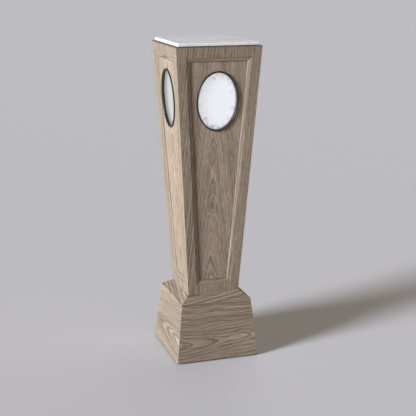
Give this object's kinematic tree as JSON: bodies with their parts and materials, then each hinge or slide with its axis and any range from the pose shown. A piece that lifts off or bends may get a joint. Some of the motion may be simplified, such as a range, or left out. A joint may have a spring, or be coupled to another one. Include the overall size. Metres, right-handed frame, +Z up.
{
  "type": "display plinth",
  "caption": "Square display plinth: a tapered oak column that widens upwards on a sloped base, with recessed panels, oval mirrors and a stone top.",
  "frame": {"origin": "on the floor under the middle of the plinth, with the glides wound in", "axes": "+Z up along the column; the front face looks along -Y; +X to the front face's right"},
  "size_m": [0.3048, 0.3048, 1.1263],
  "materials": {
    "oak": "limed, matt lacquer",
    "plywood": "sanded",
    "softwood": "planed",
    "stone": "polished",
    "mirror": "antiqued silvering",
    "bronze": "dark bronze, satin",
    "felt": "felt",
    "silicone": "clear silicone",
    "zinc_steel": "zinc plated",
    "insert_brass": "turned",
    "glide_steel": "nickel plated"
  },
  "bodies": {
    "plinth": {"back_bottom_rail": "oak", "back_left_stile": "oak", "back_mirror": "mirror", "back_moulding": "oak", "back_panel": "oak", "back_right_stile": "oak", "back_ring": "bronze", "back_top_rail": "oak", "backer_screws": "zinc_steel", "base_back": "oak", "base_corner_blocks": "softwood", "base_front": "oak", "base_left": "oak", "base_right": "oak", "base_top_board": "plywood", "bottom_board": "plywood", "column_brace": "plywood", "column_corner_blocks": "softwood", "column_foot_board": "plywood", "front_bottom_rail": "oak", "front_left_stile": "oak", "front_mirror": "mirror", "front_moulding": "oak", "front_panel": "oak", "front_right_stile": "oak", "front_ring": "bronze", "front_top_rail": "oak", "glide_inserts": "insert_brass", "left_bottom_rail": "oak", "left_left_stile": "oak", "left_mirror": "mirror", "left_moulding": "oak", "left_panel": "oak", "left_right_stile": "oak", "left_ring": "bronze", "left_top_rail": "oak", "mirror_backers": "plywood", "mirror_pads": "felt", "right_bottom_rail": "oak", "right_left_stile": "oak", "right_mirror": "mirror", "right_moulding": "oak", "right_panel": "oak", "right_right_stile": "oak", "right_ring": "bronze", "right_top_rail": "oak", "shoulder_back": "oak", "shoulder_front": "oak", "shoulder_left": "oak", "shoulder_right": "oak", "stone_pads": "silicone", "stone_top": "stone", "tie_bolts": "zinc_steel", "tie_inserts": "insert_brass", "tie_washers": "zinc_steel", "top_board": "plywood"},
    "glide_1": {"glide_1": "glide_steel"},
    "glide_2": {"glide_2": "glide_steel"},
    "glide_3": {"glide_3": "glide_steel"},
    "glide_4": {"glide_4": "glide_steel"}
  },
  "joints": [
    {"name": "glide_1_height", "type": "slide", "parent": "plinth", "child": "glide_1", "axis": [0, 0, -1], "range_m": [0, 0.012]},
    {"name": "glide_2_height", "type": "slide", "parent": "plinth", "child": "glide_2", "axis": [0, 0, -1], "range_m": [0, 0.012]},
    {"name": "glide_3_height", "type": "slide", "parent": "plinth", "child": "glide_3", "axis": [0, 0, -1], "range_m": [0, 0.012]},
    {"name": "glide_4_height", "type": "slide", "parent": "plinth", "child": "glide_4", "axis": [0, 0, -1], "range_m": [0, 0.012]}
  ]
}
